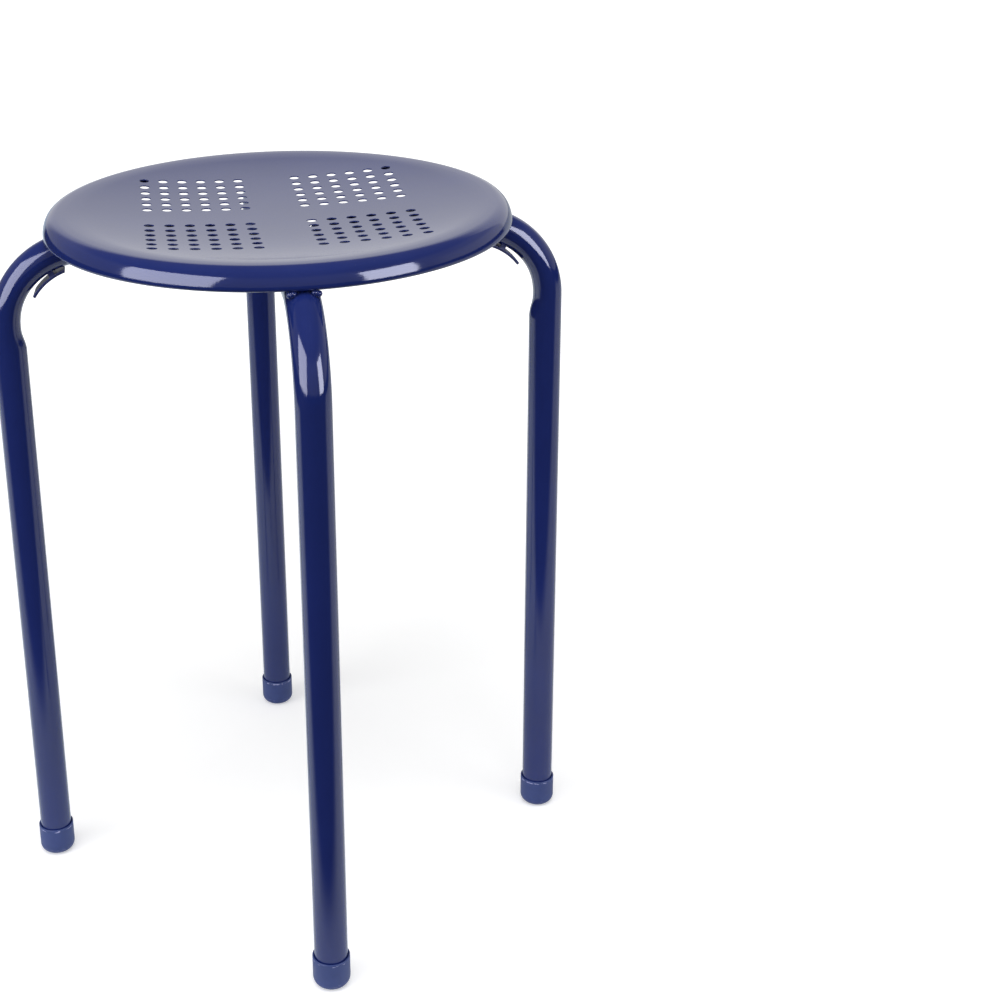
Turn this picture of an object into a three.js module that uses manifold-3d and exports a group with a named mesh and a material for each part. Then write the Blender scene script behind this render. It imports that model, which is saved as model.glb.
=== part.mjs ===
// Stacking stool: a dished, perforated steel seat on two bent tube hoops that cross under it.
// Millimetres, +Z up, floor at z = 0, the stool's own axis is the Z axis.
import * as THREE from 'three';
import { mergeGeometries, mergeVertices } from 'three/addons/utils/BufferGeometryUtils.js';
import Module from 'manifold-3d';

const wasm = await Module();
wasm.setup();

// Whole stool
const stoolHeight = 480; // floor to the crest of the seat rim
const fitGap = 0.3; // between pieces that touch, as between a weld and its tube
const cutOverrun = 2; // how far a cutting shape runs past the surface it cuts

// Pressed steel seat pan
const seat = {
  radius: 153.2, // over the widest line of the rim
  sheet: 0.8,
  dishDepth: 9, // crest of the rim down to the middle of the dish
  dishRadius: 130, // where the dish starts to level out into the crest
  shoulderWidth: 9.2, // from the crest out to the widest line
  shoulderDrop: 10.8, // from the crest down to the widest line
  tuck: 4.7, // how far the lower edge curls in under the widest line
  frameClearance: 1.4, // underside of the dish's middle to the crown of the hoops
};
const bowlShare = 0.25; // of the dish's rise, for the part that keeps to its outer zone

// Four square fields of punched holes, with a plain cross between them above the hoops
const holes = {
  radius: 3.3,
  pitch: 13,
  band: 39.7, // width of the plain cross, between the centres of the nearest holes
};
const holesPerSide = 6;

// Round tube of the two hoops
const tube = { radius: 11, wall: 1.5 };
const hoop = {
  legRadius: 180.8, // from the stool's axis to the axis of a leg
  bendRadius: 53, // of the tube's centreline
  bendCrush: 3.5, // how deep the bending former flattens the inner side of a bend
};

// Pressed saddles that let the two hoops cross at one level
const saddle = {
  landing: 9.5, // flat floor on each side of the crossing tube
  slopeLength: 12, // along the tube, from the floor back to the full section
};
const saddleBlendShare = 0.4; // of the slope's length, for the rounding at each of its ends

// Curved stop strips inside the bends of the left and right legs
const strip = {
  standoff: 3.9, // clear space between strip and tube
  thickness: 2,
  width: 12,
};
const stripAngles = { start: 19, end: 58, tab: 32 }; // degrees along the bend, 0 at its upper end
const tabLength = 5; // along the bend

// Plastic foot caps pushed over the tube ends
const cap = {
  height: 22,
  wall: 1.05,
  floor: 4, // under the end of the tube
  cornerRadius: 6,
  lipChamfer: 0.5,
};

// Weld beads
const rimBead = { radius: 1.9, length: 2.2, offset: 7.4 }; // offset: to each side of the tube's crown
const crossBead = { radius: 2.2, length: 9 };
const crossBeadInsetShare = 0.55; // of its radius, out of the corner that it fills

// Facet counts
const facets = {
  seat: 64, hole: 8, tube: 20, bore: 12, bend: 10, saddle: 4, cap: 20, corner: 4, strip: 5, bead: 8,
};

// Places that follow from the sizes above
const crestRadius = seat.radius - seat.shoulderWidth;
const dishFloor = stoolHeight - seat.dishDepth;
const crownHeight = dishFloor - seat.sheet - seat.frameClearance;
const hoopHeight = crownHeight - tube.radius;
const bendCentre = { r: hoop.legRadius - hoop.bendRadius, z: hoopHeight - hoop.bendRadius };
const crushedFace = hoop.bendRadius - tube.radius + hoop.bendCrush;
const rimEdgeRadius = seat.radius - seat.tuck;
const tubeEnd = cap.floor + fitGap;

const legs = [
  { name: 'right', angle: 0 },
  { name: 'back', angle: Math.PI / 2 },
  { name: 'left', angle: Math.PI },
  { name: 'front', angle: (3 * Math.PI) / 2 },
];

const bluePaint = { color: 0x2c3570, roughness: 0.22, metalness: 0 };
const bluePlastic = { color: 0x343b72, roughness: 0.45, metalness: 0 };

// Height of the tube's crown line at a distance r from the stool's axis
function crownAt(r) {
  const run = Math.max(r - bendCentre.r, 0);
  return bendCentre.z + Math.sqrt((hoop.bendRadius + tube.radius) ** 2 - run ** 2);
}

// Solid from a closed three.js geometry
function toSolid(geometry) {
  const plain = new THREE.BufferGeometry();
  plain.setAttribute('position', geometry.getAttribute('position').clone());
  plain.setIndex(geometry.getIndex());
  const merged = mergeVertices(plain);
  const index = merged.getIndex().array;
  const kept = [];
  for (let i = 0; i < index.length; i += 3) {
    const [a, b, c] = [index[i], index[i + 1], index[i + 2]];
    if (a !== b && b !== c && c !== a) kept.push(a, b, c);
  }
  const vertProperties = Float32Array.from(merged.getAttribute('position').array);
  const mesh = new wasm.Mesh({ numProp: 3, vertProperties, triVerts: Uint32Array.from(kept) });
  return new wasm.Manifold(mesh);
}

// Three.js geometry from a solid
function toGeometry(solid) {
  const mesh = solid.getMesh();
  const geometry = new THREE.BufferGeometry();
  geometry.setAttribute('position', new THREE.BufferAttribute(mesh.vertProperties, 3));
  geometry.setIndex(new THREE.BufferAttribute(mesh.triVerts, 1));
  geometry.computeVertexNormals();
  return geometry;
}

function makeMesh(name, geometry, look) {
  const mesh = new THREE.Mesh(geometry, new THREE.MeshStandardMaterial(look));
  mesh.name = name;
  return mesh;
}

function lathe(profile, segments) {
  return new THREE.LatheGeometry(profile, segments).rotateX(Math.PI / 2);
}

// Top side of the seat sheet in section, from the axis out over the rim to its lower edge
function seatProfile() {
  const steepness = 2 + 2 * bowlShare; // slope at the dish's edge, in rises per radius
  const levelRun = (crestRadius - seat.dishRadius) / 2;
  const rise = seat.dishDepth / (1 + (steepness * levelRun) / seat.dishRadius);
  const dishAt = (r) => {
    const reach = r / seat.dishRadius;
    const share = (1 - bowlShare) * reach ** 2 + bowlShare * reach ** 4;
    return new THREE.Vector2(r, dishFloor + rise * share);
  };
  const dishSteps = 3;
  const points = [];
  for (let i = 0; i <= dishSteps; i++) points.push(dishAt((i / dishSteps) * seat.dishRadius));

  const crest = new THREE.Vector2(crestRadius, stoolHeight);
  const levelling = new THREE.QuadraticBezierCurve(
    dishAt(seat.dishRadius),
    new THREE.Vector2((seat.dishRadius + crestRadius) / 2, stoolHeight),
    crest,
  );
  points.push(...levelling.getPoints(2).slice(1));

  const shoulderHeight = stoolHeight - seat.shoulderDrop;
  const shoulder = new THREE.EllipseCurve(
    crestRadius, shoulderHeight, seat.shoulderWidth, seat.shoulderDrop, Math.PI / 2, 0, true,
  );
  points.push(...shoulder.getPoints(5).slice(1));

  const rimEdge = new THREE.Vector2(rimEdgeRadius, crownAt(rimEdgeRadius) + fitGap);
  const turnIn = new THREE.QuadraticBezierCurve(
    new THREE.Vector2(seat.radius, shoulderHeight),
    new THREE.Vector2(seat.radius, (shoulderHeight + rimEdge.y) / 2),
    rimEdge,
  );
  points.push(...turnIn.getPoints(3).slice(1));
  return points;
}

// The same line moved off the sheet by a distance, out of its top side when positive
function offsetProfile(points, distance) {
  return points.map((point, i) => {
    const before = points[Math.max(i - 1, 0)];
    const after = points[Math.min(i + 1, points.length - 1)];
    const along = after.clone().sub(before).normalize();
    if (i === 0) along.set(1, 0);
    const normal = new THREE.Vector2(-along.y, along.x);
    return point.clone().addScaledVector(normal, distance);
  });
}

// Seat sheet as a solid of revolution, grown by a clearance on both sides
function seatShell(grown) {
  const top = seatProfile();
  const upper = offsetProfile(top, grown);
  const under = offsetProfile(top, -seat.sheet - grown);
  return toSolid(lathe([...under, ...upper.reverse()], facets.seat));
}

// All punched holes as one cutting solid
function holeCutters() {
  const bottom = dishFloor - seat.sheet - cutOverrun;
  const top = stoolHeight + cutOverrun;
  const punch = new THREE.CylinderGeometry(holes.radius, holes.radius, top - bottom, facets.hole);
  punch.rotateX(Math.PI / 2);
  const fieldCentre = (holes.band + (holesPerSide - 1) * holes.pitch) / 2;
  const cutters = [];
  for (const side of [-1, 1]) {
    for (const end of [-1, 1]) {
      for (let i = 0; i < holesPerSide; i++) {
        for (let j = 0; j < holesPerSide; j++) {
          const x = side * fieldCentre + (i - (holesPerSide - 1) / 2) * holes.pitch;
          const y = end * fieldCentre + (j - (holesPerSide - 1) / 2) * holes.pitch;
          cutters.push(punch.clone().translate(x, y, (top + bottom) / 2));
        }
      }
    }
  }
  return toSolid(mergeGeometries(cutters));
}

function makeSeatPan() {
  const pan = seatShell(0).subtract(holeCutters());
  return makeMesh('seat_pan', toGeometry(pan), bluePaint);
}

// A path whose steps fall on chosen stations, so that a straight run takes a single step
class StationPath extends THREE.Curve {
  constructor(stations) {
    super();
    this.stations = stations;
  }

  station(u) {
    return this.stations[Math.round(u * (this.stations.length - 1))];
  }

  getPointAt(u) {
    return this.station(u).point.clone();
  }

  getTangentAt(u) {
    return this.station(u).tangent.clone();
  }
}

// Stations of one hoop in the XZ plane: up the left leg, across, and down the right leg
function hoopStations(footHeight) {
  const up = new THREE.Vector3(0, 0, 1);
  const stations = [{ point: new THREE.Vector3(-hoop.legRadius, 0, footHeight), tangent: up }];
  for (const side of [-1, 1]) {
    for (let i = 0; i <= facets.bend; i++) {
      const turned = (i / facets.bend) * (Math.PI / 2);
      const angle = side < 0 ? Math.PI - turned : Math.PI / 2 - turned;
      stations.push({
        point: new THREE.Vector3(
          side * bendCentre.r + hoop.bendRadius * Math.cos(angle),
          0,
          bendCentre.z + hoop.bendRadius * Math.sin(angle),
        ),
        tangent: new THREE.Vector3(Math.sin(angle), 0, -Math.cos(angle)),
      });
    }
  }
  const down = up.clone().negate();
  stations.push({ point: new THREE.Vector3(hoop.legRadius, 0, footHeight), tangent: down });
  return stations;
}

function sweptHoop(radius, sides, footHeight) {
  const stations = hoopStations(footHeight);
  const section = new THREE.Shape().absarc(0, 0, radius, 0, 2 * Math.PI);
  return toSolid(new THREE.ExtrudeGeometry(section, {
    steps: stations.length - 1,
    curveSegments: sides / 2,
    extrudePath: new StationPath(stations),
  }));
}

// Former that flattens the inner side of both bends, grown by the wall for the bore
function bendFormer(grown) {
  const length = 2 * (tube.radius + cutOverrun);
  const faces = 4 * facets.bend;
  const former = new THREE.CylinderGeometry(crushedFace + grown, crushedFace + grown, length, faces);
  const pair = [-1, 1].map((side) => former.clone().translate(side * bendCentre.r, 0, bendCentre.z));
  return toSolid(mergeGeometries(pair));
}

// Die that presses a saddle into the middle of a hoop, grown by the wall for the bore
function saddleDie(grown, pressedFromBelow) {
  const floorHalf = tube.radius + saddle.landing;
  const topHalf = floorHalf + saddle.slopeLength;
  const blend = saddle.slopeLength * saddleBlendShare;
  const floorLevel = -fitGap / 2 - grown;
  const crownLevel = tube.radius - grown;
  const open = tube.radius + cutOverrun;
  const outline = new THREE.Shape();
  outline.moveTo(-topHalf, open);
  outline.lineTo(-topHalf, crownLevel);
  outline.bezierCurveTo(
    -topHalf + blend, crownLevel, -floorHalf - blend, floorLevel, -floorHalf, floorLevel,
  );
  outline.lineTo(floorHalf, floorLevel);
  outline.bezierCurveTo(
    floorHalf + blend, floorLevel, topHalf - blend, crownLevel, topHalf, crownLevel,
  );
  outline.lineTo(topHalf, open);
  outline.closePath();
  const die = new THREE.ExtrudeGeometry(outline, {
    depth: 2 * open,
    bevelEnabled: false,
    curveSegments: facets.saddle,
  });
  die.translate(0, 0, -open).rotateX(Math.PI / 2);
  if (pressedFromBelow) die.rotateX(Math.PI);
  return toSolid(die.translate(0, 0, hoopHeight));
}

// Outside of a hoop, grown by a clearance, with its flattened bends and its saddle
function hoopOutside(grown, pressedFromBelow) {
  return sweptHoop(tube.radius + grown, facets.tube, tubeEnd)
    .subtract(bendFormer(-grown))
    .subtract(saddleDie(-grown, pressedFromBelow));
}

function makeHoop(name, angle, pressedFromBelow) {
  const bore = sweptHoop(tube.radius - tube.wall, facets.bore, tubeEnd - cutOverrun)
    .subtract(bendFormer(tube.wall))
    .subtract(saddleDie(tube.wall, pressedFromBelow));
  const pipe = hoopOutside(0, pressedFromBelow).subtract(bore);
  const mesh = makeMesh(name, toGeometry(pipe), bluePaint);
  mesh.rotation.z = angle;
  return mesh;
}

function makeFootCap(leg) {
  const bore = tube.radius + fitGap;
  const outside = bore + cap.wall;
  const corner = new THREE.EllipseCurve(
    outside - cap.cornerRadius, cap.cornerRadius, cap.cornerRadius, cap.cornerRadius, -Math.PI / 2, 0,
  );
  const profile = [
    new THREE.Vector2(0, 0),
    ...corner.getPoints(facets.corner),
    new THREE.Vector2(outside, cap.height - cap.lipChamfer),
    new THREE.Vector2(outside - cap.lipChamfer, cap.height),
    new THREE.Vector2(bore, cap.height),
    new THREE.Vector2(bore, cap.floor),
    new THREE.Vector2(0, cap.floor),
  ];
  const geometry = toGeometry(toSolid(lathe(profile, facets.cap)));
  const mesh = makeMesh(`foot_cap_${leg.name}`, geometry, bluePlastic);
  mesh.position.set(hoop.legRadius * Math.cos(leg.angle), hoop.legRadius * Math.sin(leg.angle), 0);
  return mesh;
}

// Slice of a ring about the bend of the right leg, between two angles along the bend
function bendSector(innerRadius, outerRadius, startDegrees, endDegrees) {
  const start = Math.PI / 2 - THREE.MathUtils.degToRad(startDegrees);
  const end = Math.PI / 2 - THREE.MathUtils.degToRad(endDegrees);
  const outline = new THREE.Shape();
  outline.absarc(0, 0, outerRadius, start, end, true);
  outline.absarc(0, 0, innerRadius, end, start, false);
  outline.closePath();
  const slice = new THREE.ExtrudeGeometry(outline, {
    depth: strip.width,
    bevelEnabled: false,
    curveSegments: facets.strip,
  });
  slice.translate(0, 0, -strip.width / 2).rotateX(Math.PI / 2);
  return slice.translate(bendCentre.r, 0, bendCentre.z);
}

// Stop strip and the short tab that holds it off the tube
function makeStop(leg) {
  const outer = crushedFace - strip.standoff;
  const tabHalf = THREE.MathUtils.radToDeg(tabLength / 2 / outer);
  const band = bendSector(outer - strip.thickness, outer, stripAngles.start, stripAngles.end);
  const tab = bendSector(
    outer + fitGap, crushedFace - fitGap, stripAngles.tab - tabHalf, stripAngles.tab + tabHalf,
  );
  const group = new THREE.Group();
  group.add(makeMesh(`stop_strip_${leg.name}`, toGeometry(toSolid(band)), bluePaint));
  group.add(makeMesh(`stop_tab_${leg.name}`, toGeometry(toSolid(tab)), bluePaint));
  group.rotation.z = leg.angle;
  return group;
}

// Rounded bead with its length along Y
function bead(radius, length) {
  return new THREE.CapsuleGeometry(radius, length, facets.bead / 4, facets.bead);
}

// The two beads that hold the rim on the shoulders of one leg's bend
function makeRimWelds(leg) {
  const drop = tube.radius - Math.sqrt(tube.radius ** 2 - rimBead.offset ** 2);
  const level = crownAt(rimEdgeRadius) - drop / 2;
  const group = new THREE.Group();
  [-1, 1].forEach((side, i) => {
    const blank = bead(rimBead.radius, rimBead.length);
    blank.translate(rimEdgeRadius, side * rimBead.offset, level);
    const fitted = toSolid(blank).subtract(hoopOutside(fitGap, false)).subtract(seatShell(fitGap));
    group.add(makeMesh(`rim_weld_${leg.name}_${i + 1}`, toGeometry(fitted), bluePaint));
  });
  group.rotation.z = leg.angle;
  return group;
}

// The four beads in the corners where the hoops cross: two on the lower hoop, two under the upper
function makeCrossingWelds() {
  const group = new THREE.Group();
  group.position.z = hoopHeight;
  const inset = crossBead.radius * crossBeadInsetShare;
  const blank = bead(crossBead.radius, crossBead.length);
  blank.translate(tube.radius + inset, 0, hoopHeight + inset);
  const fitted = toSolid(blank)
    .subtract(hoopOutside(fitGap, false))
    .subtract(hoopOutside(fitGap, true).rotate([0, 0, 90]));
  const geometry = toGeometry(fitted).translate(0, 0, -hoopHeight);
  for (const leg of legs) {
    const mesh = makeMesh(`crossing_weld_${leg.name}`, geometry.clone(), bluePaint);
    const underUpperHoop = leg.name === 'front' || leg.name === 'back';
    mesh.rotation.set(underUpperHoop ? Math.PI : 0, 0, leg.angle, 'ZYX');
    group.add(mesh);
  }
  return group;
}

function makeStool() {
  const stool = new THREE.Group();
  stool.add(makeSeatPan());
  stool.add(makeHoop('hoop_left_right', 0, false));
  stool.add(makeHoop('hoop_front_back', Math.PI / 2, true));
  for (const leg of legs) {
    stool.add(makeFootCap(leg));
    stool.add(makeRimWelds(leg));
    if (leg.name === 'left' || leg.name === 'right') stool.add(makeStop(leg));
  }
  stool.add(makeCrossingWelds());
  return stool;
}

export default makeStool();
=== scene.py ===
import math
import bpy
import bmesh
from mathutils import Matrix, Vector, noise


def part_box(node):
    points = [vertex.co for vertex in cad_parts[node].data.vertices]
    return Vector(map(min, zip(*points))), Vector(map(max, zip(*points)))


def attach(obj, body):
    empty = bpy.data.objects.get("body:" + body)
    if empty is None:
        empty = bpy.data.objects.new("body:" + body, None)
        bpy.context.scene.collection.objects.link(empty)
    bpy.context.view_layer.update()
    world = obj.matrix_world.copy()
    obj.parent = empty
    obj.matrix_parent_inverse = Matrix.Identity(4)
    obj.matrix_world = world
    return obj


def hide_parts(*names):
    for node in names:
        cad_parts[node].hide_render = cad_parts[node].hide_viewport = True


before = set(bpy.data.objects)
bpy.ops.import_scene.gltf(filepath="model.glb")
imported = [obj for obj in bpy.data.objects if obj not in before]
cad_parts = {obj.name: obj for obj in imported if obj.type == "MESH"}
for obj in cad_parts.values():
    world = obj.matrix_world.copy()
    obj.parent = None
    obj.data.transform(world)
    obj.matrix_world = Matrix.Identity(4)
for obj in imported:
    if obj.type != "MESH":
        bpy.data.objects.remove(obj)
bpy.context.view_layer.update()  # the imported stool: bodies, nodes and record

mm = 0.001
print("frame loaded:", len(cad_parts), "nodes")

hoopLow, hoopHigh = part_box("hoop_left_right")
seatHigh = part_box("seat_pan")[1]
capLow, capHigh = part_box("foot_cap_right")

# places that every piece shares, read from the frame where it holds them
tubeRadius = hoopHigh.y
legRadius = hoopHigh.x - tubeRadius
hoopHeight = hoopHigh.z - tubeRadius  # axis of the level run under the seat
tubeEnd = hoopLow.z
legs = {"right": 0, "back": 90, "left": 180, "front": 270}  # degrees about the stool's axis

bend = {
    "radius": 53 * mm,  # centreline of the tube
    "crush": 2.6 * mm,  # pressed depth on the inner side, at the lower end of the bend
    "crushStart": 0.05,  # share of it at the upper end
    "crushFull": 0.85,  # share of the turn after which it is all there
    "fade": (2.5 * mm, 20 * mm),  # from the end of the bend, along the straight
    "turnSteps": 32,
    "run": 22 * mm,  # closer stations past each end of the bend
    "runSteps": 12,
}
bendCentre = Vector((legRadius - bend["radius"], hoopHeight - bend["radius"]))


def crownAt(r):
    run = max(r - bendCentre.x, 0)
    return bendCentre.y + math.sqrt((bend["radius"] + tubeRadius) ** 2 - run ** 2)


def softMin(a, b, width):
    h = min(max(0.5 + 0.5 * (b - a) / width, 0), 1)
    return b + (a - b) * h - width * h * (1 - h)


def ease(t):
    t = min(max(t, 0), 1)
    return t * t * (3 - 2 * t)


def ray(angle):
    return Vector((math.cos(angle), math.sin(angle)))


# camera at the photograph's place and angle

cameraView = {
    "place": Vector((-99.16, -1117.41, 774.53)) * mm,
    "forward": Vector((0.12285, 0.92585, -0.35737)).normalized(),
    "roll": -0.0230,  # radians
    "lens": 63.35,
    "shift": (0.1436, -0.1088),
}


def addCamera():
    data = bpy.data.cameras.new("photoCamera")
    data.sensor_width = 36
    data.lens = cameraView["lens"]
    data.shift_x, data.shift_y = cameraView["shift"]
    data.clip_start = 0.05
    camera = bpy.data.objects.new("photoCamera", data)
    bpy.context.scene.collection.objects.link(camera)
    forward = cameraView["forward"]
    level = Vector((forward.y, -forward.x, 0)).normalized()
    above = level.cross(forward)
    s, c = math.sin(cameraView["roll"]), math.cos(cameraView["roll"])
    right = level * c + above * s
    up = above * c - level * s
    turn = Matrix((right, up, -forward)).transposed().to_4x4()
    camera.matrix_world = Matrix.Translation(cameraView["place"]) @ turn
    bpy.context.scene.camera = camera


addCamera()
print("camera placed")


# small helpers for shader trees

def newTree(name):
    material = bpy.data.materials.new(name)
    material.use_nodes = True
    material.node_tree.nodes.clear()
    return material, material.node_tree


def newGroup(name, inputs, outputs):
    group = bpy.data.node_groups.new(name, "ShaderNodeTree")
    for label, kind, value in inputs:
        socket = group.interface.new_socket(name=label, in_out="INPUT", socket_type=kind)
        socket.default_value = value
    for label, kind in outputs:
        group.interface.new_socket(name=label, in_out="OUTPUT", socket_type=kind)
    entry = group.nodes.new("NodeGroupInput")
    leave = group.nodes.new("NodeGroupOutput")
    return group, entry, leave


def addNode(tree, kind, settings=None, **values):
    node = tree.nodes.new(kind)
    for key, value in (settings or {}).items():
        setattr(node, key, value)
    for key, value in values.items():
        node.inputs[key.replace("_", " ")].default_value = value
    return node


def useGroup(tree, group, **values):
    node = tree.nodes.new("ShaderNodeGroup")
    node.node_tree = group
    for key, value in values.items():
        node.inputs[key].default_value = value
    return node


# a value on a socket, or a link where the value is another node's output
def feed(tree, value, socket):
    if isinstance(value, bpy.types.NodeSocket):
        tree.links.new(value, socket)
    else:
        socket.default_value = value


def mathNode(tree, operation, a, b=None, clamp=False):
    node = addNode(tree, "ShaderNodeMath", {"operation": operation, "use_clamp": clamp})
    feed(tree, a, node.inputs[0])
    if b is not None:
        feed(tree, b, node.inputs[1])
    return node.outputs[0]


def mixColour(tree, factor, a, b):
    node = addNode(tree, "ShaderNodeMix", {"data_type": "RGBA"})
    for value, place in ((factor, 0), (a, 6), (b, 7)):
        feed(tree, value, node.inputs[place])
    return node.outputs[2]


def clouds(tree, place, scale, detail, rough):
    node = addNode(tree, "ShaderNodeTexNoise", Detail=detail, Roughness=rough)
    feed(tree, place, node.inputs["Vector"])
    feed(tree, scale, node.inputs["Scale"])
    return node.outputs[0]


def ramp(tree, value, low, high, toLow=0.0, toHigh=1.0):
    node = addNode(tree, "ShaderNodeMapRange", {"interpolation_type": "SMOOTHSTEP"},
                   From_Min=low, From_Max=high, To_Min=toLow, To_Max=toHigh)
    tree.links.new(value, node.inputs["Value"])
    return node.outputs["Result"]


# bump, shader and output of a finish
def closeFinish(tree, ior, colour, gloss, height, strength, depth):
    bump = addNode(tree, "ShaderNodeBump", Strength=strength, Distance=depth)
    tree.links.new(height, bump.inputs["Height"])
    shader = addNode(tree, "ShaderNodeBsdfPrincipled", IOR=ior)
    tree.links.new(colour, shader.inputs["Base Color"])
    tree.links.new(gloss, shader.inputs["Roughness"])
    tree.links.new(bump.outputs[0], shader.inputs["Normal"])
    leave = tree.nodes.new("ShaderNodeOutputMaterial")
    tree.links.new(shader.outputs[0], leave.inputs[0])


# effects that several finishes share

def makeOrangePeel():
    group, entry, leave = newGroup(
        "orangePeel",
        [("Grain", "NodeSocketFloat", 500.0), ("Fine Grain", "NodeSocketFloat", 2200.0)],
        [("Height", "NodeSocketFloat")],
    )
    place = group.nodes.new("ShaderNodeTexCoord").outputs["Object"]
    broad = clouds(group, place, entry.outputs["Grain"], 2.0, 0.45)
    fine = clouds(group, place, entry.outputs["Fine Grain"], 3.0, 0.6)
    small = mathNode(group, "MULTIPLY", fine, 0.18)
    group.links.new(mathNode(group, "ADD", broad, small), leave.inputs["Height"])
    return group


def makeEdgeWear():
    group, entry, leave = newGroup(
        "edgeWear",
        [("Amount", "NodeSocketFloat", 0.5), ("Breakup", "NodeSocketFloat", 900.0)],
        [("Mask", "NodeSocketFloat")],
    )
    shape = group.nodes.new("ShaderNodeNewGeometry")
    place = group.nodes.new("ShaderNodeTexCoord").outputs["Object"]
    patches = clouds(group, place, entry.outputs["Breakup"], 4.0, 0.65)
    edge = ramp(group, shape.outputs["Pointiness"], 0.52, 0.62)
    broken = mathNode(group, "MULTIPLY", edge, ramp(group, patches, 0.48, 0.66))
    group.links.new(mathNode(group, "MULTIPLY", broken, entry.outputs["Amount"], True), leave.inputs["Mask"])
    return group


def makeDustFilm():
    group, entry, leave = newGroup(
        "dustFilm",
        [("Amount", "NodeSocketFloat", 0.3), ("Specks", "NodeSocketFloat", 420.0)],
        [("Film", "NodeSocketFloat"), ("Speck", "NodeSocketFloat")],
    )
    shape = group.nodes.new("ShaderNodeNewGeometry")
    place = group.nodes.new("ShaderNodeTexCoord").outputs["Object"]
    split = group.nodes.new("ShaderNodeSeparateXYZ")
    group.links.new(shape.outputs["Normal"], split.inputs[0])
    facingUp = ramp(group, split.outputs["Z"], 0.55, 0.98)
    film = mathNode(group, "MULTIPLY", facingUp, ramp(group, clouds(group, place, 24.0, 5.0, 0.6), 0.35, 0.7))
    group.links.new(mathNode(group, "MULTIPLY", film, entry.outputs["Amount"], True), leave.inputs["Film"])
    dots = addNode(group, "ShaderNodeTexVoronoi", Randomness=1.0)
    group.links.new(place, dots.inputs["Vector"])
    group.links.new(entry.outputs["Specks"], dots.inputs["Scale"])
    chosen = group.nodes.new("ShaderNodeSeparateColor")
    group.links.new(dots.outputs["Color"], chosen.inputs[0])
    rare = ramp(group, chosen.outputs[0], 0.965, 0.975)
    dot = mathNode(group, "MULTIPLY", ramp(group, dots.outputs["Distance"], 0.16, 0.08), rare)
    speck = mathNode(group, "MULTIPLY", dot, facingUp)
    group.links.new(mathNode(group, "MULTIPLY", speck, entry.outputs["Amount"], True), leave.inputs["Speck"])
    return group


def makeScuffs():
    group, entry, leave = newGroup(
        "scuffs",
        [("Level", "NodeSocketFloat", 0.02), ("Band", "NodeSocketFloat", 0.003),
         ("Amount", "NodeSocketFloat", 1.0)],
        [("Mask", "NodeSocketFloat")],
    )
    place = group.nodes.new("ShaderNodeTexCoord").outputs["Object"]
    split = group.nodes.new("ShaderNodeSeparateXYZ")
    group.links.new(place, split.inputs[0])
    away = mathNode(group, "ABSOLUTE", mathNode(group, "SUBTRACT", split.outputs["Z"], entry.outputs["Level"]))
    near = mathNode(group, "SUBTRACT", 1.0, mathNode(group, "DIVIDE", away, entry.outputs["Band"]), True)
    slanted = addNode(group, "ShaderNodeMapping", Rotation=(0.5, 0.4, 0.6), Scale=(1.0, 1.0, 3.2))
    group.links.new(place, slanted.inputs["Vector"])
    strokes = clouds(group, slanted.outputs[0], 330.0, 3.0, 0.55)
    marks = ramp(group, mathNode(group, "MULTIPLY", strokes, near), 0.5, 0.56)
    group.links.new(mathNode(group, "MULTIPLY", marks, entry.outputs["Amount"], True), leave.inputs["Mask"])
    return group


orangePeel = makeOrangePeel()
edgeWear = makeEdgeWear()
dustFilm = makeDustFilm()
scuffs = makeScuffs()

# finishes

paintFinish = {
    "colour": (0.0112, 0.0228, 0.146, 1),
    "deepColour": (0.0100, 0.0205, 0.132, 1),  # where the coat lies thicker
    "edgeColour": (0.030, 0.048, 0.20, 1),
    "dustColour": (0.30, 0.30, 0.32, 1),
    "roughness": (0.075, 0.10),
    "ior": 1.5,
    "coatScale": 16.0,  # clouds in the coat
    "streakScale": 60.0,  # clouds in the gloss
    "wearBreakup": 700.0,
    "wornRough": 0.2,  # added where the edges are worn
    "filmColour": 0.05,  # how far a full film of dust covers the colour
    "filmRough": 0.03,
    "speckColour": 0.6,
    "peelGrain": 430.0,
    "peelHeight": 0.06 * mm,
    "peelStrength": 0.35,
}


def makePaint(name, wear=0.5, dust=0.25, peel=1.0, rough=0.0):
    material, tree = newTree(name)
    place = tree.nodes.new("ShaderNodeTexCoord").outputs["Object"]
    coat = ramp(tree, clouds(tree, place, paintFinish["coatScale"], 4.0, 0.55), 0.3, 0.7)
    worn = useGroup(tree, edgeWear, Amount=wear, Breakup=paintFinish["wearBreakup"])
    film = useGroup(tree, dustFilm, Amount=dust)
    skin = useGroup(tree, orangePeel, Grain=paintFinish["peelGrain"])
    body = mixColour(tree, coat, paintFinish["deepColour"], paintFinish["colour"])
    edged = mixColour(tree, worn.outputs["Mask"], body, paintFinish["edgeColour"])
    haze = mathNode(tree, "MULTIPLY", film.outputs["Film"], paintFinish["filmColour"])
    specks = mathNode(tree, "MULTIPLY", film.outputs["Speck"], paintFinish["speckColour"])
    hazed = mixColour(tree, haze, edged, paintFinish["dustColour"])
    dusty = mixColour(tree, specks, hazed, paintFinish["dustColour"])
    low, high = paintFinish["roughness"]
    streaks = clouds(tree, place, paintFinish["streakScale"], 5.0, 0.6)
    gloss = ramp(tree, streaks, 0.3, 0.7, low + rough, high + rough)
    dull = mathNode(tree, "MULTIPLY", film.outputs["Film"], paintFinish["filmRough"])
    rubbed = mathNode(tree, "MULTIPLY", worn.outputs["Mask"], paintFinish["wornRough"])
    gloss = mathNode(tree, "ADD", mathNode(tree, "ADD", gloss, dull), rubbed, True)
    closeFinish(tree, paintFinish["ior"], dusty, gloss, skin.outputs["Height"],
                paintFinish["peelStrength"] * peel, paintFinish["peelHeight"])
    return material


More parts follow.
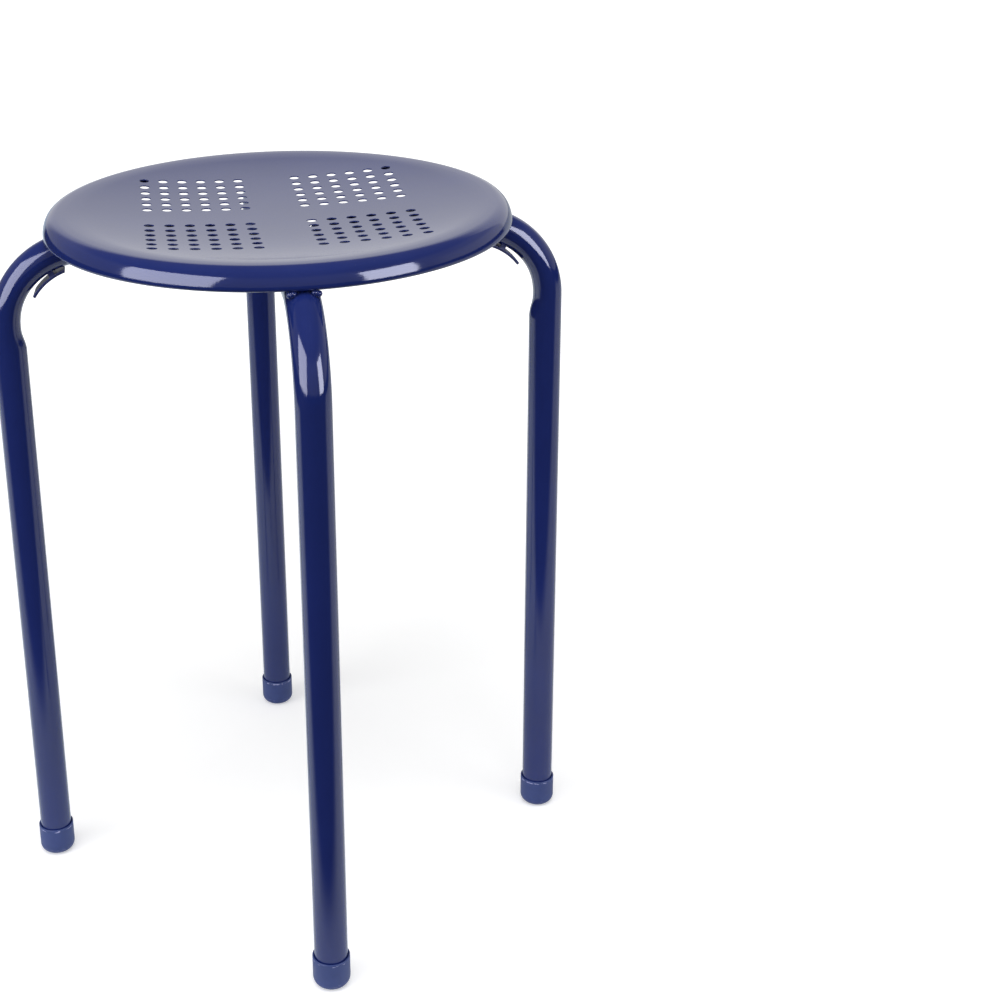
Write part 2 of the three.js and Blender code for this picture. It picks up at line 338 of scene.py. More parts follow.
capFinish = {
    "colour": (0.024, 0.044, 0.172, 1),
    "paleColour": (0.032, 0.055, 0.200, 1),
    "scuffColour": (0.42, 0.44, 0.72, 1),
    "roughness": (0.42, 0.56),
    "ior": 1.46,
    "cloudScale": 90.0,
    "grain": 1500.0,
    "grainHeight": 0.05 * mm,
    "grainStrength": 0.5,
    "lipMarks": (1.4 * mm, 3.4 * mm, 0.85),  # distance below the lip, reach and amount
    "footMarks": (5 * mm, 6 * mm, 0.12),  # height above the floor, reach and amount
    "markRough": 0.2,
    "markHeight": 1.5,
    "wear": 0.5,
    "wearBreakup": 900.0,
    "wearColour": 0.5,
}


def makeCapPlastic():
    material, tree = newTree("capPlastic")
    place = tree.nodes.new("ShaderNodeTexCoord").outputs["Object"]
    cloud = clouds(tree, place, capFinish["cloudScale"], 5.0, 0.6)
    below, reach, amount = capFinish["lipMarks"]
    lipMarks = useGroup(tree, scuffs, Level=capHigh.z - below, Band=reach, Amount=amount)
    level, reach, amount = capFinish["footMarks"]
    footMarks = useGroup(tree, scuffs, Level=level, Band=reach, Amount=amount)
    worn = useGroup(tree, edgeWear, Amount=capFinish["wear"], Breakup=capFinish["wearBreakup"])
    skin = useGroup(tree, orangePeel, Grain=capFinish["grain"])
    body = mixColour(tree, ramp(tree, cloud, 0.3, 0.7), capFinish["colour"], capFinish["paleColour"])
    rubbed = mathNode(tree, "MULTIPLY", worn.outputs["Mask"], capFinish["wearColour"])
    edged = mixColour(tree, rubbed, body, capFinish["paleColour"])
    rubs = mathNode(tree, "MAXIMUM", lipMarks.outputs["Mask"], footMarks.outputs["Mask"])
    scuffed = mixColour(tree, rubs, edged, capFinish["scuffColour"])
    low, high = capFinish["roughness"]
    gloss = ramp(tree, cloud, 0.3, 0.7, low, high)
    gloss = mathNode(tree, "ADD", gloss, mathNode(tree, "MULTIPLY", rubs, capFinish["markRough"]), True)
    height = mathNode(tree, "MULTIPLY", rubs, capFinish["markHeight"])
    height = mathNode(tree, "ADD", skin.outputs["Height"], height)
    closeFinish(tree, capFinish["ior"], scuffed, gloss, height,
                capFinish["grainStrength"], capFinish["grainHeight"])
    return material


seatPaint = makePaint("seatPaint", wear=0.35, dust=0.35, peel=0.8)
tubePaint = makePaint("tubePaint", wear=0.3, dust=0.15)
weldPaint = makePaint("weldPaint", wear=0.6, dust=0.2, peel=1.6, rough=0.06)
stopPaint = makePaint("stopPaint", wear=0.5, dust=0.3, peel=1.4, rough=0.34)
capPlastic = makeCapPlastic()
print("finishes made")


def newPiece(name, verts, faces, material, slot, *nodes):
    mesh = bpy.data.meshes.new(name)
    mesh.from_pydata([tuple(v) for v in verts], [], faces)
    mesh.validate()
    mesh.shade_smooth()
    mesh.materials.append(material)
    piece = bpy.data.objects.new(name, mesh)
    bpy.context.scene.collection.objects.link(piece)
    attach(piece, "root")
    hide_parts(*nodes)
    return piece


def tidyMesh(piece):
    work = bmesh.new()
    work.from_mesh(piece.data)
    bmesh.ops.remove_doubles(work, verts=work.verts, dist=1e-6)
    bmesh.ops.recalc_face_normals(work, faces=work.faces)
    work.to_mesh(piece.data)
    work.free()
    piece.data.shade_smooth()


def turned(verts, degrees):
    spin = Matrix.Rotation(math.radians(degrees), 3, "Z")
    return [spin @ Vector(v) for v in verts]


def addBevel(piece, width, segments, angle=40):
    bevel = piece.modifiers.new("softEdges", "BEVEL")
    bevel.width = width
    bevel.segments = segments
    bevel.limit_method = "ANGLE"
    bevel.angle_limit = math.radians(angle)
    bevel.use_clamp_overlap = True
    flat = piece.modifiers.new("evenNormals", "WEIGHTED_NORMAL")
    flat.keep_sharp = False
    flat.weight = 60


# seat pan: a grid sheet laid out around every punched hole, then thickened

seatPan = {
    "radius": 153.2 * mm,
    "sheet": 0.8 * mm,
    "dishDepth": 9 * mm,
    "bowlShare": 0.25,  # part of the dish's rise that keeps to its outer zone
    "dishRadius": 130 * mm,
    # crest, side wall and curled edge: the radius of each, and the angle that its outside faces at its end
    "rim": ((9.2 * mm, 28.5), (17.2 * mm, 4), (2.2 * mm, -100)),
    "rimSteps": 10,
    "crestRings": (6 * mm, 4.5 * mm, 3 * mm, 1.5 * mm, 0),  # inward of the crest
    "holeRadius": 3.3 * mm,
    "pitch": 13 * mm,
    "band": 39.7 * mm,
    "holesPerSide": 6,
    "holeFacets": 24,  # a multiple of 8
    "holeCollar": 0.75 * mm,  # a ring of narrow faces around each hole
    "punchRoll": 0.16 * mm,  # rounding of the punched edges under the paint
    "crossSteps": 12,  # faces across the plain cross
    "outerSteps": 9,  # rings from the fields out to the rim
}
(shoulder, wallTop), (wall, curlTop), (curl, _) = seatPan["rim"]
upper, lower = math.cos(math.radians(wallTop)), math.cos(math.radians(curlTop))
crest = seatPan["radius"] - shoulder * upper - wall * (lower - upper) - curl * (1 - lower)
dishFloor = seatHigh.z - seatPan["dishDepth"]


def seatHeight(r):
    start, bowl = seatPan["dishRadius"], seatPan["bowlShare"]
    rise = seatPan["dishDepth"] / (1 + (2 + 2 * bowl) * (crest - start) / 2 / start)
    edge = dishFloor + rise
    if r <= start:
        return dishFloor + rise * ((1 - bowl) * (r / start) ** 2 + bowl * (r / start) ** 4)
    t = min((r - start) / (crest - start), 1)
    return (1 - t) ** 2 * edge + (1 - (1 - t) ** 2) * seatHigh.z


def rimProfile():
    points = [Vector((crest - inward, seatHeight(crest - inward))) for inward in seatPan["crestRings"]]
    facing, steps = 90, seatPan["rimSteps"]
    for radius, end in seatPan["rim"]:
        centre = points[-1] - ray(math.radians(facing)) * radius
        for i in range(1, steps + 1):
            points.append(centre + ray(math.radians(facing + (end - facing) * i / steps)) * radius)
        facing = end
    return points


# point on the edge of a square from -1 to 1, for s from 0 to 8
def squarePoint(s):
    if s <= 1:
        return Vector((1, s))
    if s <= 3:
        return Vector((2 - s, 1))
    if s <= 5:
        return Vector((-1, 4 - s))
    if s <= 7:
        return Vector((s - 6, -1))
    return Vector((1, s - 8))


def buildSeatPan():
    verts, faces, known = [], [], {}

    def vert(x, y, z=None):
        key = (round(x * 1e6), round(y * 1e6), None if z is None else round(z * 1e6))
        if key not in known:
            known[key] = len(verts)
            verts.append((x, y, seatHeight(math.hypot(x, y)) if z is None else z))
        return known[key]

    count, pitch, facets = seatPan["holesPerSide"], seatPan["pitch"], seatPan["holeFacets"]
    near = (seatPan["band"] - pitch) / 2  # from the axis to the nearest side of a field
    far = near + count * pitch
    perCell = facets // 4

    for sideX in (-1, 1):
        for sideY in (-1, 1):
            for i in range(count):
                for j in range(count):
                    cx = sideX * (near + far) / 2 + (i - (count - 1) / 2) * pitch
                    cy = sideY * (near + far) / 2 + (j - (count - 1) / 2) * pitch
                    rings = [[], [], [], []]
                    for k in range(facets):
                        out = ray(2 * math.pi * k / facets)
                        hole = out * seatPan["holeRadius"]
                        collar = out * (seatPan["holeRadius"] + seatPan["holeCollar"])
                        corner = squarePoint(8 * k / facets) * pitch / 2
                        for ring, p in zip(rings, (hole, collar, (collar + corner) / 2, corner)):
                            ring.append(vert(cx + p.x, cy + p.y))
                    for inner, outer in zip(rings, rings[1:]):
                        for k in range(facets):
                            n = (k + 1) % facets
                            faces.append((inner[k], outer[k], outer[n], inner[n]))

    # the plain cross, and then rings that run from the square out to the round rim
    field = [near + pitch * i / perCell for i in range(count * perCell + 1)]
    across = seatPan["crossSteps"]
    middle = [-near + 2 * near * i / across for i in range(1, across)]
    line = [-v for v in reversed(field)] + middle + field
    first, last = len(field) - 1, len(field) - 1 + across
    for i in range(len(line) - 1):
        for j in range(len(line) - 1):
            if first <= i < last or first <= j < last:
                faces.append((
                    vert(line[i], line[j]), vert(line[i + 1], line[j]),
                    vert(line[i + 1], line[j + 1]), vert(line[i], line[j + 1]),
                ))

    around = [Vector((far, y)) for y in line[:-1]] + [Vector((x, far)) for x in reversed(line[1:])]
    around += [Vector((-far, y)) for y in reversed(line[1:])] + [Vector((x, -far)) for x in line[:-1]]
    profile, steps = rimProfile(), seatPan["outerSteps"]
    loops = []
    for step in range(steps):
        t = step / steps
        loops.append([vert(*(p * (1 - t) + p.normalized() * profile[0].x * t)) for p in around])
    for point in profile:
        loops.append([vert(*(p.normalized() * point.x), point.y) for p in around])
    for inner, outer in zip(loops, loops[1:]):
        for k in range(len(around)):
            n = (k + 1) % len(around)
            faces.append((inner[k], outer[k], outer[n], inner[n]))

    piece = newPiece("seatPan", verts, faces, seatPaint, "painted_steel", "seat_pan")
    shell = piece.modifiers.new("sheetThickness", "SOLIDIFY")
    shell.thickness = seatPan["sheet"]
    shell.offset = -1
    shell.use_even_offset = True
    addBevel(piece, seatPan["punchRoll"], 3, 50)
    return piece


buildSeatPan()
print("seat pan made")

# the two bent tubes, crossing in pressed saddles

hoopShape = {
    "facets": 56,
    "endRings": (0, 0.5 * mm, 60 * mm, 180 * mm),  # heights above the tube's end
    "kneeRing": 60 * mm,  # below the bend
    "levelRings": (80 * mm, 60 * mm, 45 * mm),  # from the stool's axis, on the level run
    "saddleReach": 36 * mm,  # closer stations from here to the axis
    "saddleSteps": 50,
    "saddleLanding": 9.5 * mm,  # flat floor on each side of the crossing tube
    "saddleSlope": 12 * mm,
    "saddleFloor": 0.15 * mm,  # past the tube's axis
    "saddleRise": 1.2 * mm,  # by which the slope's end clears the full section
    "saddleSpread": 0.05,  # sideways swelling where the tube is pressed
    "pressBlend": 1.4 * mm,
    "pressStart": 1 * mm,  # outside the full section
}


def crushDepth(beyond, share=1.0):
    reach = bend["radius"] - tubeRadius + bend["crush"] * share
    side = max(reach ** 2 - beyond ** 2, 0)
    start, end = bend["fade"]
    return max(math.sqrt(side) - (bend["radius"] - tubeRadius), 0) * (1 - ease((beyond - start) / (end - start)))


def crushShare(turn):
    return bend["crushStart"] + (1 - bend["crushStart"]) * ease(turn / bend["crushFull"])


def hoopStations():
    # point on the tube's axis, direction to the outer side of the hoop, and depth of the crush
    stations = []
    run, runSteps, turnSteps = bend["run"], bend["runSteps"], bend["turnSteps"]
    outward, upward = Vector((-1, 0, 0)), Vector((0, 0, 1))
    for z in [tubeEnd + above for above in hoopShape["endRings"]] + [bendCentre.y - hoopShape["kneeRing"]]:
        stations.append((Vector((-legRadius, 0, z)), outward, 0))
    for i in range(runSteps):
        beyond = run * (1 - i / runSteps)
        stations.append((Vector((-legRadius, 0, bendCentre.y - beyond)), outward, crushDepth(beyond)))
    for i in range(turnSteps + 1):
        a = math.pi - math.pi / 2 * i / turnSteps
        out = Vector((math.cos(a), 0, math.sin(a)))
        stations.append((Vector((-bendCentre.x, 0, bendCentre.y)) + out * bend["radius"], out,
                         bend["crush"] * crushShare(1 - i / turnSteps)))
    for i in range(1, runSteps + 1):
        beyond = run * i / runSteps
        stations.append((Vector((-bendCentre.x + beyond, 0, hoopHeight)), upward,
                         crushDepth(beyond, bend["crushStart"])))
    reach, steps = hoopShape["saddleReach"], hoopShape["saddleSteps"]
    for away in list(hoopShape["levelRings"]) + [reach * (1 - i / steps) for i in range(steps)]:
        stations.append((Vector((-away, 0, hoopHeight)), upward, 0))
    mirrored = [(Vector((-p.x, 0, p.z)), Vector((-n.x, 0, n.z)), c) for p, n, c in reversed(stations)]
    return stations + [(Vector((0, 0, hoopHeight)), upward, 0)] + mirrored


# height of the pressed face over the tube's axis
def saddleLevel(x):
    floorHalf = tubeRadius + hoopShape["saddleLanding"]
    t = (abs(x) - floorHalf) / hoopShape["saddleSlope"]
    return (tubeRadius + hoopShape["saddleRise"]) * ease(t) - hoopShape["saddleFloor"]


def buildHoop(name, node, degrees, pressedFromBelow):
    verts, faces = [], []
    facets = hoopShape["facets"]
    stations = hoopStations()
    for point, out, crush in stations:
        level = saddleLevel(point.x) if out.z > 0.999 else math.inf
        pressed = ease((tubeRadius - level) / tubeRadius)
        for k in range(facets):
            a = 2 * math.pi * k / facets
            u, side = tubeRadius * math.cos(a), tubeRadius * math.sin(a)
            if u < 0:
                u *= 1 - crush / tubeRadius
            if level < tubeRadius + hoopShape["pressStart"]:
                if pressedFromBelow:
                    u = -softMin(-u, level, hoopShape["pressBlend"])
                else:
                    u = softMin(u, level, hoopShape["pressBlend"])
            side *= 1 + hoopShape["saddleSpread"] * pressed
            verts.append(point + out * u + Vector((0, side, 0)))
    for i in range(len(stations) - 1):
        for k in range(facets):
            n = (k + 1) % facets
            a, b = i * facets, (i + 1) * facets
            faces.append((a + k, a + n, b + n, b + k))
    last = (len(stations) - 1) * facets
    faces.append(tuple(reversed(range(facets))))
    faces.append(tuple(last + k for k in range(facets)))
    piece = newPiece(name, turned(verts, degrees), faces, tubePaint, "painted_steel", node)
    tidyMesh(piece)
    return piece


buildHoop("hoopLeftRight", "hoop_left_right", 0, False)
buildHoop("hoopFrontBack", "hoop_front_back", 90, True)
print("hoops made")

# moulded foot caps

footCap = {
    "outer": (capHigh.y - capLow.y) / 2,
    "bore": tubeRadius + 0.3 * mm,
    "height": capHigh.z,
    "floor": 4 * mm,
    "corner": 6 * mm,
    "lipRound": 0.55 * mm,
    "boreRound": 0.3 * mm,
    "gateMark": ((0, 0.35 * mm), (1.1 * mm, 0.35 * mm), (1.4 * mm, 0.05 * mm), (1.7 * mm, 0)),
    "soleRings": (3 * mm, 4.6 * mm),
    "wallRings": (0.35, 0.6, 0.85),  # shares of the straight wall
    "boreRing": 4 * mm,  # below the lip
    "facets": 64,
}


def quarterRound(r, z, radius, start, steps, first=0):
    angles = [math.radians(start + 90 * i / steps) for i in range(first, steps + 1)]
    return [(r + radius * math.cos(a), z + radius * math.sin(a)) for a in angles]


# from the middle of the sole, up the outside, over the lip and down the bore
def capProfile():
    outer, corner, lip = footCap["outer"], footCap["corner"], footCap["lipRound"]
    bore, inner, top = footCap["bore"], footCap["boreRound"], footCap["height"]
    points = list(footCap["gateMark"])
    points += [(r, 0) for r in footCap["soleRings"]] + [(outer - corner, 0)]
    points += quarterRound(outer - corner, corner, corner, -90, 14, 1)
    points += [(outer, corner + (top - lip - corner) * share) for share in footCap["wallRings"]]
    points += quarterRound(outer - lip, top - lip, lip, 0, 6)
    points += quarterRound(bore + inner, top - inner, inner, 90, 4)
    points += [(bore, top - footCap["boreRing"]), (bore, footCap["floor"]), (0, footCap["floor"])]
    return points


def revolve(profile, facets, centre):
    verts, faces, rows = [], [], []
    for r, z in profile:
        if r == 0:
            rows.append([len(verts)] * facets)
            verts.append(Vector((centre.x, centre.y, z)))
            continue
        rows.append([len(verts) + k for k in range(facets)])
        for k in range(facets):
            a = 2 * math.pi * k / facets
            verts.append(Vector((centre.x + r * math.cos(a), centre.y + r * math.sin(a), z)))
    for lower, upper in zip(rows, rows[1:]):
        for k in range(facets):
            n = (k + 1) % facets
            loop = []
            for v in (lower[k], lower[n], upper[n], upper[k]):
                if v not in loop:
                    loop.append(v)
            if len(loop) > 2:
                faces.append(tuple(loop))
    return verts, faces


for leg, degrees in legs.items():
    centre = Vector((legRadius, 0, 0))
    verts, faces = revolve(capProfile(), footCap["facets"], centre)
    cap = newPiece("footCap" + leg.capitalize(), turned(verts, degrees), faces, capPlastic, "foot_plastic",
                   "foot_cap_" + leg)
    tidyMesh(cap)
print("foot caps made")

# curved stop strips and the tabs that carry them

stopStrip = {
    "inset": 0.6 * mm,  # its outer face, inward of the round tube's inner side
    "thickness": 2 * mm,
    "width": 12 * mm,
    "start": 19,  # degrees along the bend, 0 at its upper end
    "end": 58,
    "oblique": 4.5,  # degrees by which one side stops short at the lower end
    "edgeRound": 0.45 * mm,
    "steps": 24,
    "tab": 31,  # degrees along the bend
    "tabReach": 4.6 * mm,
    "tabLength": 5 * mm,
    "tabSink": 0.2 * mm,  # into the strip
    "tabWaist": 0.72,  # share of its length halfway between strip and tube
    "tabNarrow": 0.1,  # how much of the waist its width takes
    "tabRound": 0.7 * mm,
    "tabSteps": 12,
}
stripOuter = bend["radius"] - tubeRadius - stopStrip["inset"]


def bendPoint(radius, degrees, side):
    a = math.radians(90 - degrees)
    return Vector((bendCentre.x + radius * math.cos(a), side, bendCentre.y + radius * math.sin(a)))


def boxRows(rows):
    faces = []
    for i in range(len(rows) - 1):
        for k in range(4):
            n = (k + 1) % 4
            faces.append((rows[i][k], rows[i][n], rows[i + 1][n], rows[i + 1][k]))
    faces.append(tuple(reversed(rows[0])))
    faces.append(tuple(rows[-1]))
    return faces


def buildStop(leg, degrees):
    half = stopStrip["width"] / 2
    inner = stripOuter - stopStrip["thickness"]
    verts, rows, steps = [], [], stopStrip["steps"]
    for i in range(steps + 1):
        short, long = (stopStrip["start"] + (stopStrip["end"] - cut - stopStrip["start"]) * i / steps
                       for cut in (stopStrip["oblique"], 0))
        rows.append([len(verts) + k for k in range(4)])
        verts += [bendPoint(stripOuter, short, -half), bendPoint(stripOuter, long, half),
                  bendPoint(inner, long, half), bendPoint(inner, short, -half)]
    strip = newPiece("stopStrip" + leg.capitalize(), turned(verts, degrees), boxRows(rows), stopPaint,
                     "painted_steel", "stop_strip_" + leg)
    tidyMesh(strip)
    addBevel(strip, stopStrip["edgeRound"], 3)

    verts, rows, steps = [], [], stopStrip["tabSteps"]
    spread = math.degrees(stopStrip["tabLength"] / 2 / stripOuter)
    waist, narrow = stopStrip["tabWaist"], stopStrip["tabNarrow"]
    for i in range(steps + 1):
        t = i / steps
        radius = stripOuter - stopStrip["tabSink"] + stopStrip["tabReach"] * t
        flare = waist + (1 - waist) * abs(2 * t - 1) ** 2.5  # fillets where it meets strip and tube
        wide = half * (1 - narrow + narrow * flare)
        rows.append([len(verts) + k for k in range(4)])
        for along, side in ((-1, -1), (1, -1), (1, 1), (-1, 1)):
            verts.append(bendPoint(radius, stopStrip["tab"] + along * spread * flare, side * wide))
    tab = newPiece("stopTab" + leg.capitalize(), turned(verts, degrees), boxRows(rows), stopPaint,
                   "painted_steel", "stop_tab_" + leg)
    tidyMesh(tab)
    addBevel(tab, stopStrip["tabRound"], 3)


for leg in ("right", "left"):
    buildStop(leg, legs[leg])
print("stop strips made")

# weld beads, lumpy and painted over

welds = {
    "rimRadius": 2.15 * mm,
    "rimLength": 2.2 * mm,
    "rimOffset": 7.4 * mm,  # to each side of the tube's crown
    "rimLean": 16,  # degrees, follows the tube's shoulder
    "crossRadius": 2.2 * mm,
    "crossLength": 9 * mm,
    "crossInset": 0.55,  # share of its radius, out of the corner that it fills
    "ripple": 0.16 * mm,
    "rippleStep": 1.1 * mm,
    "lump": 0.35 * mm,
    "lumpSize": 2.6 * mm,
    "facets": 20,
    "steps": 28,
}


def beadMesh(radius, length, seed):
    verts, faces, rows = [], [], []
    facets, steps = welds["facets"], welds["steps"]
    total = length + 2 * radius
    for i in range(steps + 1):
        along = -total / 2 + total * (1 - math.cos(math.pi * i / steps)) / 2
        over = max(abs(along) - length / 2, 0)
        r = math.sqrt(max(radius ** 2 - over ** 2, 0))
        ripple = welds["ripple"] * math.cos(2 * math.pi * along / welds["rippleStep"]) * min(r / radius, 1)
        rows.append([len(verts) + k for k in range(facets)])
        for k in range(facets):
            a = 2 * math.pi * k / facets
            spot = Vector((math.cos(a) * (r + ripple), along, math.sin(a) * (r + ripple)))
            bump = noise.noise(spot / welds["lumpSize"] + Vector((seed * 7.3, seed * 3.1, 0)))
            spot.x += math.cos(a) * bump * welds["lump"]
            spot.z += math.sin(a) * bump * welds["lump"]
            verts.append(spot)
    for lower, upper in zip(rows, rows[1:]):
        for k in range(facets):
            n = (k + 1) % facets
            faces.append((lower[k], upper[k], upper[n], lower[n]))
    faces.append(tuple(rows[0]))
    faces.append(tuple(reversed(rows[-1])))
    return verts, faces


def placeBead(name, node, verts, faces, matrix, degrees):
    moved = turned([matrix @ v for v in verts], degrees)
    bead = newPiece(name, moved, faces, weldPaint, "painted_steel", node)
    tidyMesh(bead)
    smooth = bead.modifiers.new("smoothBead", "SUBSURF")
    smooth.levels = smooth.render_levels = 1


rimFoot = rimProfile()[-1]
drop = tubeRadius - math.sqrt(tubeRadius ** 2 - welds["rimOffset"] ** 2)
for number, (leg, degrees) in enumerate(legs.items()):
    for i, side in enumerate((-1, 1)):
        verts, faces = beadMesh(welds["rimRadius"], welds["rimLength"], number * 2 + i + 1)
        place = Vector((rimFoot.x, side * welds["rimOffset"], (crownAt(rimFoot.x) - drop + rimFoot.y) / 2))
        lean = Matrix.Rotation(math.radians(-welds["rimLean"] * side), 4, "X")
        placeBead("rimWeld" + leg.capitalize() + str(i + 1), f"rim_weld_{leg}_{i + 1}", verts, faces,
                  Matrix.Translation(place) @ lean, degrees)

for number, (leg, degrees) in enumerate(legs.items()):
    verts, faces = beadMesh(welds["crossRadius"], welds["crossLength"], number + 21)
    upOrDown = -1 if leg in ("front", "back") else 1  # under the hoop that is pressed from below
    inset = welds["crossRadius"] * welds["crossInset"]
    place = Vector((tubeRadius + inset, 0, hoopHeight + inset * upOrDown))
    placeBead("crossingWeld" + leg.capitalize(), "crossing_weld_" + leg, verts, faces,
              Matrix.Translation(place), degrees)
print("welds made")

# floor, world and lamps

studio = {
    "floorSize": 24.0,
    "floorColour": (0.84, 0.84, 0.84, 1),
    "floorLift": (0.40, 0.80),  # near and far from the stool, for the camera only
    "floorLiftReach": (0.45, 1.6),
    "floorFront": (-0.275, -0.23),  # the lit floor ends along a slanting line just before the front foot
    "floorFrontBlur": (0.09, 0.25),  # width of that border at the middle, and more per metre aside
    "floorShine": (0.34, 0.12),  # added for gloss, at the left and at the right
    "shineReach": (-0.3, 0.3),
    "shineColour": (0.72, 1.0, 1.25, 1),
    "floorReach": ((-1.3, -1.05), (2.9, 2.4)),  # and on its left and right sides
    "floorNarrows": 0.1,  # the left side comes in by this much per metre
    "sweepDepth": 2.3,  # from here on the lit floor widens to meet the backdrop's sides
    # painted shade: the floor's colour outside its lit patch, seen by every ray but the camera's
    "unlitFloorShade": (0.07, 0.07, 0.075, 1),
    "daylight": 0.38,  # level of the room on matt surfaces
    "roomDark": 0.20,  # what gloss sees overhead
    "roomSide": 0.20,  # added near the horizon
    "roomRise": (0.66, 0.46),  # where that ends, as the sine of the height
    "roomRight": 0.25,  # added there on the right
    "roomRightReach": ((0.45, 0.75), (-0.4, -0.1), (0.4, 0.2)),  # in each axis of the direction
    "backdrop": 0.58,  # added behind the stool
    "backdropLeft": (0.55, 0.25),  # its reach to the left over its distance, with a soft edge
    "backdropRight": (1.25, 1.05),
    "lampBase": 0.45,  # the lamps' elevations and distances are taken from this height
    "key": (-165, 66, 2.7),  # degrees from the back to the right, elevation and distance
    "keyPower": 50.0,
    "keySize": 2.2,
    "sides": ((-112, 13, 2.2), (122, 13, 2.2)),  # left and right, for matt surfaces
    "sidePower": (18.0, 10.0),
    "sideSize": (1.4, 1.1),
    "aim": 0.25,  # height at which the key and the sides are aimed
    "softboxes": ((-122, 16, 1.7), (134, 11, 1.7)),  # left and right, for gloss
    "softboxSize": ((1.45, 1.25), (0.82, 0.92)),
    "softboxLevel": (8.4, 12.4),
    "softboxAim": 0.42,
    "softboxColour": (0.80, 0.82, 1.0),
}


def addFloor():
    half = studio["floorSize"] / 2
    mesh = bpy.data.meshes.new("floor")
    mesh.from_pydata([(-half, -half, 0), (half, -half, 0), (half, half, 0), (-half, half, 0)], [], [(0, 1, 2, 3)])
    floor = bpy.data.objects.new("floor", mesh)
    bpy.context.scene.collection.objects.link(floor)
    floor.location.z = -0.0002
    material, tree = newTree("floorWhite")
    rays = tree.nodes.new("ShaderNodeLightPath")
    place = tree.nodes.new("ShaderNodeTexCoord")
    split = tree.nodes.new("ShaderNodeSeparateXYZ")
    tree.links.new(place.outputs["Object"], split.inputs[0])
    reach = addNode(tree, "ShaderNodeVectorMath", {"operation": "LENGTH"})
    tree.links.new(place.outputs["Object"], reach.inputs[0])
    aside = mathNode(tree, "ABSOLUTE", split.outputs["X"])
    blur, blurAside = studio["floorFrontBlur"]
    border = mathNode(tree, "ADD", mathNode(tree, "MULTIPLY", aside, blurAside), blur)
    front, slant = studio["floorFront"]
    inside = mathNode(tree, "SUBTRACT", split.outputs["Y"], mathNode(tree, "MULTIPLY", split.outputs["X"], slant))
    inside = mathNode(tree, "SUBTRACT", inside, front)
    lit = ramp(tree, mathNode(tree, "DIVIDE", inside, border), -0.5, 0.5)
    leftReach, rightReach = studio["floorReach"]
    far = mathNode(tree, "MAXIMUM", mathNode(tree, "DIVIDE", split.outputs["Y"], studio["sweepDepth"]), 1.0)
    across = mathNode(tree, "DIVIDE", split.outputs["X"], far)
    narrowed = mathNode(tree, "DIVIDE", split.outputs["Y"], far)
    narrowed = mathNode(tree, "SUBTRACT", across, mathNode(tree, "MULTIPLY", narrowed, studio["floorNarrows"]))
    lit = mathNode(tree, "MULTIPLY", lit, ramp(tree, narrowed, *leftReach))
    lit = mathNode(tree, "MULTIPLY", lit, ramp(tree, across, *rightReach))
    seen = rays.outputs["Is Camera Ray"]
    bright = mathNode(tree, "MAXIMUM", lit, seen)
    # painted shade: past the lit patch the floor's colour turns dark, except to the camera
    colour = mixColour(tree, bright, studio["unlitFloorShade"], studio["floorColour"])
    matt = tree.nodes.new("ShaderNodeBsdfDiffuse")
    tree.links.new(colour, matt.inputs["Color"])
    lift = ramp(tree, reach.outputs["Value"], *studio["floorLiftReach"], *studio["floorLift"])
    glow = tree.nodes.new("ShaderNodeEmission")
    shine = ramp(tree, split.outputs["X"], *studio["shineReach"], *studio["floorShine"])
    shine = mathNode(tree, "MULTIPLY", lit, shine)
    shine = mathNode(tree, "MULTIPLY", shine, rays.outputs["Is Glossy Ray"])
    tree.links.new(mathNode(tree, "ADD", mathNode(tree, "MULTIPLY", seen, lift), shine), glow.inputs["Strength"])
    tree.links.new(mixColour(tree, seen, studio["shineColour"], (1, 1, 1, 1)), glow.inputs["Color"])
    both = tree.nodes.new("ShaderNodeAddShader")
    tree.links.new(matt.outputs[0], both.inputs[0])
    tree.links.new(glow.outputs[0], both.inputs[1])
    leave = tree.nodes.new("ShaderNodeOutputMaterial")
    tree.links.new(both.outputs[0], leave.inputs[0])
    mesh.materials.append(material)


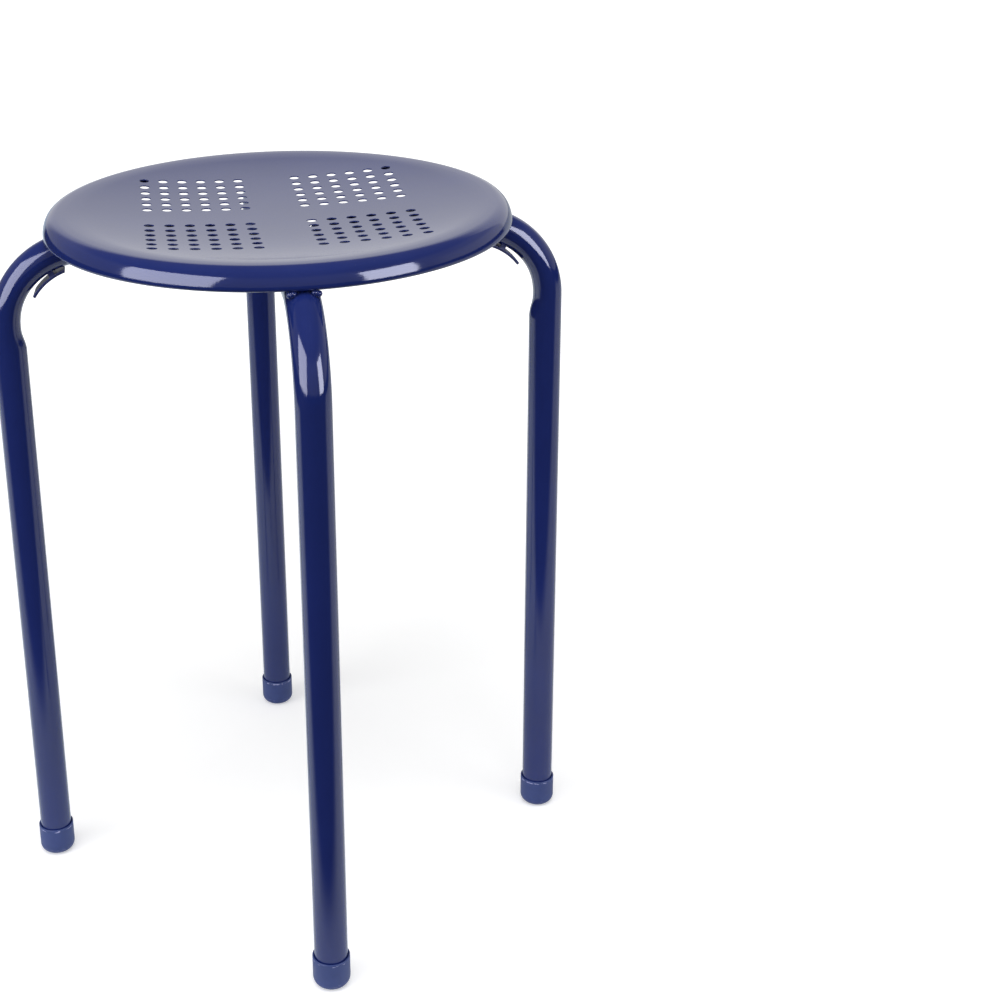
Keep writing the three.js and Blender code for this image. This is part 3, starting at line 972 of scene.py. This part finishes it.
def addWorld():
    world = bpy.data.worlds.new("studioRoom")
    bpy.context.scene.world = world
    world.use_nodes = True
    world.cycles.sampling_method = "NONE"  # each kind of ray keeps its own level
    tree = world.node_tree
    tree.nodes.clear()
    rays = tree.nodes.new("ShaderNodeLightPath")
    where = tree.nodes.new("ShaderNodeTexCoord")
    split = tree.nodes.new("ShaderNodeSeparateXYZ")
    tree.links.new(where.outputs["Generated"], split.inputs[0])
    low = ramp(tree, split.outputs["Z"], *studio["roomRise"])
    toRight = mathNode(tree, "DIVIDE", split.outputs["X"], split.outputs["Y"])
    toLeft = mathNode(tree, "MULTIPLY", toRight, -1.0)
    ahead = mathNode(tree, "GREATER_THAN", split.outputs["Y"], 0.0)
    paper = mathNode(tree, "MULTIPLY", ramp(tree, toRight, *studio["backdropRight"]), ahead)
    paper = mathNode(tree, "MULTIPLY", ramp(tree, toLeft, *studio["backdropLeft"]), paper)
    back = mathNode(tree, "MULTIPLY", paper, studio["backdrop"])
    reachX, reachY, reachZ = studio["roomRightReach"]
    right = ramp(tree, split.outputs["Z"], *reachZ, 0.0, studio["roomRight"])
    right = mathNode(tree, "MULTIPLY", right, ramp(tree, split.outputs["X"], *reachX))
    right = mathNode(tree, "MULTIPLY", right, ramp(tree, split.outputs["Y"], *reachY))
    side = mathNode(tree, "ADD", studio["roomSide"], mathNode(tree, "MAXIMUM", back, right))
    gloss = mathNode(tree, "ADD", studio["roomDark"], mathNode(tree, "MULTIPLY", low, side))
    isGloss = rays.outputs["Is Glossy Ray"]
    level = mathNode(tree, "ADD", mathNode(tree, "MULTIPLY", isGloss, gloss),
                     mathNode(tree, "MULTIPLY", mathNode(tree, "SUBTRACT", 1.0, isGloss), studio["daylight"]))
    level = mathNode(tree, "MAXIMUM", level, rays.outputs["Is Camera Ray"])
    sky = addNode(tree, "ShaderNodeBackground", Color=(1, 1, 1, 1))
    tree.links.new(level, sky.inputs["Strength"])
    leave = tree.nodes.new("ShaderNodeOutputWorld")
    tree.links.new(sky.outputs[0], leave.inputs[0])


def addLamp(name, spot, aim, width, height, power):
    azimuth, elevation, distance = math.radians(spot[0]), math.radians(spot[1]), spot[2]
    place = Vector((math.sin(azimuth) * math.cos(elevation), math.cos(azimuth) * math.cos(elevation),
                    math.sin(elevation))) * distance + Vector((0, 0, studio["lampBase"]))
    data = bpy.data.lights.new(name, "AREA")
    data.shape = "RECTANGLE"
    data.size, data.size_y = width, height
    data.energy = power
    lamp = bpy.data.objects.new(name, data)
    bpy.context.scene.collection.objects.link(lamp)
    lamp.location = place
    lamp.rotation_euler = (Vector((0, 0, aim)) - place).to_track_quat("-Z", "Y").to_euler()
    lamp.visible_camera = False
    return lamp


addFloor()
addWorld()
key = addLamp("keyLamp", studio["key"], studio["aim"], studio["keySize"], studio["keySize"], studio["keyPower"])
key.visible_glossy = False
for name, spot, power in zip(("sideLeft", "sideRight"), studio["sides"], studio["sidePower"]):
    side = addLamp(name, spot, studio["aim"], *studio["sideSize"], power)
    side.visible_glossy = False
for name, spot, (width, height), level in zip(
        ("softboxLeft", "softboxRight"), studio["softboxes"], studio["softboxSize"], studio["softboxLevel"]):
    box = addLamp(name, spot, studio["softboxAim"], width, height, level * width * height * math.pi)
    box.data.color = studio["softboxColour"]
    box.visible_diffuse = False  # seen in the gloss only, so the colours keep a plain level
bpy.context.scene.view_settings.view_transform = "Standard"
print("studio set")

print("done")
